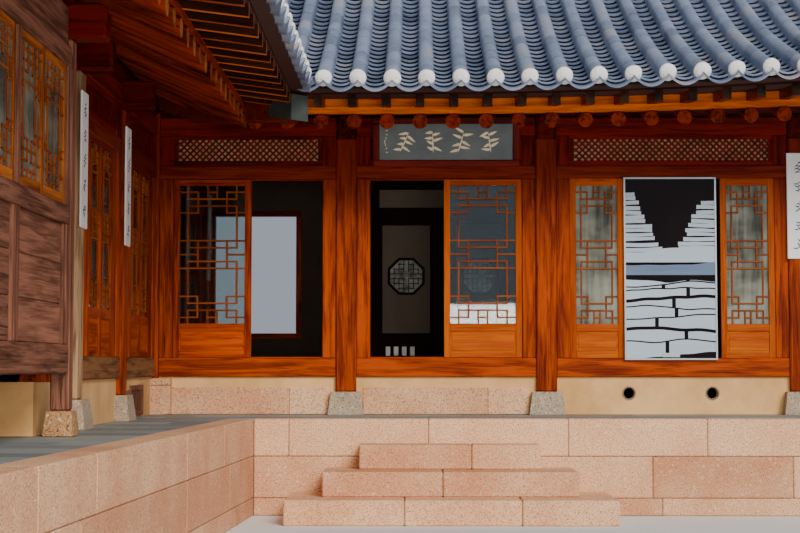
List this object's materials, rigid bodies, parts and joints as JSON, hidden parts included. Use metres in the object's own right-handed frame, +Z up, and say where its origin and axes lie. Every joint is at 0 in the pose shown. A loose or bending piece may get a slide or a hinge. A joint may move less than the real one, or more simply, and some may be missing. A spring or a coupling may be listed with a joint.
{
  "type": "hanok house",
  "caption": "Korean timber house with an L-shaped plan on a granite platform, sliding lattice doors, a raised end room and a curved tiled roof.",
  "frame": {"origin": "middle of the house's outline on the ground, under the platform", "axes": "+Y from the front, where the steps are, to the back; +X to the right seen from the front; +Z up"},
  "size_m": [13.92, 16.36, 6.5505],
  "materials": {
    "timber": "pine posts and beams with a warm orange-brown oil stain, satin",
    "door_timber": "lighter stained pine of doors and floors, satin, with clear glass and white paper in the lattices",
    "old_timber": "weathered grey-brown boards and beams, dull",
    "granite": "bush-hammered pinkish granite blocks, matt",
    "plaster": "smooth cream lime plaster, matt",
    "roof_tile": "blue-grey smoked clay tiles with a faint sheen and white lime plugs at the eaves",
    "paper": "pale mulberry paper on timber lattices",
    "board_paint": "white painted boards",
    "sign_paint": "grey-blue painted board in a dark red frame",
    "silver_frame": "thin silver frame round a printed glass panel"
  },
  "bodies": {
    "house": {"post_corner": "timber", "post_ab": "timber", "post_bc": "timber", "post_right": "timber", "post_wing_1": "timber", "post_wing_2": "timber", "pavilion_post_east_back": "timber", "pavilion_post_east_front": "timber", "pavilion_post_west_back": "timber", "pavilion_post_west_front": "timber", "frame_bay_a": "timber", "frame_bay_b": "timber", "frame_bay_c": "timber", "wing_end_wall": "timber", "roof_timbers_main": "timber", "roof_timbers_wing": "timber", "diagonal_rafter": "timber", "bargeboard_main": "timber", "bargeboard_wing": "timber", "leaf_c_left": "door_timber", "leaf_c_right": "door_timber", "wing_door_bay_1": "door_timber", "wing_door_bay_2": "door_timber", "floor_main": "door_timber", "floor_wing": "door_timber", "pavilion_wall_east": "old_timber", "pavilion_wall_west": "old_timber", "pavilion_wall_front": "old_timber", "floor_pavilion": "old_timber", "platform_main": "granite", "platform_wing": "granite", "lower_step": "granite", "middle_step": "granite", "upper_step": "granite", "pavilion_stone_east_back": "granite", "pavilion_stone_east_front": "granite", "pavilion_stone_west_back": "granite", "pavilion_stone_west_front": "granite", "base_main_front": "plaster", "base_wing": "plaster", "wall_back": "plaster", "wall_back_right": "plaster", "wall_west": "plaster", "wall_right": "plaster", "gable_main": "plaster", "gable_wing": "plaster", "roof_main": "roof_tile", "roof_wing": "roof_tile", "ridge_main": "roof_tile", "ridge_wing": "roof_tile", "partition": "paper", "plaque_right": "board_paint", "plaque_wing_1": "board_paint", "plaque_wing_2": "board_paint", "name_board": "sign_paint", "display_panel": "silver_frame"},
    "leaf_a_front": {"leaf_a_front": "door_timber"},
    "leaf_a_rear": {"leaf_a_rear": "door_timber"},
    "leaf_b_front": {"leaf_b_front": "door_timber"},
    "leaf_b_rear": {"leaf_b_rear": "door_timber"}
  },
  "joints": [
    {"name": "slide_a_front", "type": "slide", "parent": "house", "child": "leaf_a_front", "axis": [1, 0, 0], "range_m": [0, 0.759]},
    {"name": "slide_a_rear", "type": "slide", "parent": "house", "child": "leaf_a_rear", "axis": [1, 0, 0], "range_m": [0, 0.759]},
    {"name": "slide_b_front", "type": "slide", "parent": "house", "child": "leaf_b_front", "axis": [-1, 0, 0], "range_m": [0, 0.779]},
    {"name": "slide_b_rear", "type": "slide", "parent": "house", "child": "leaf_b_rear", "axis": [-1, 0, 0], "range_m": [0, 0.779]}
  ]
}
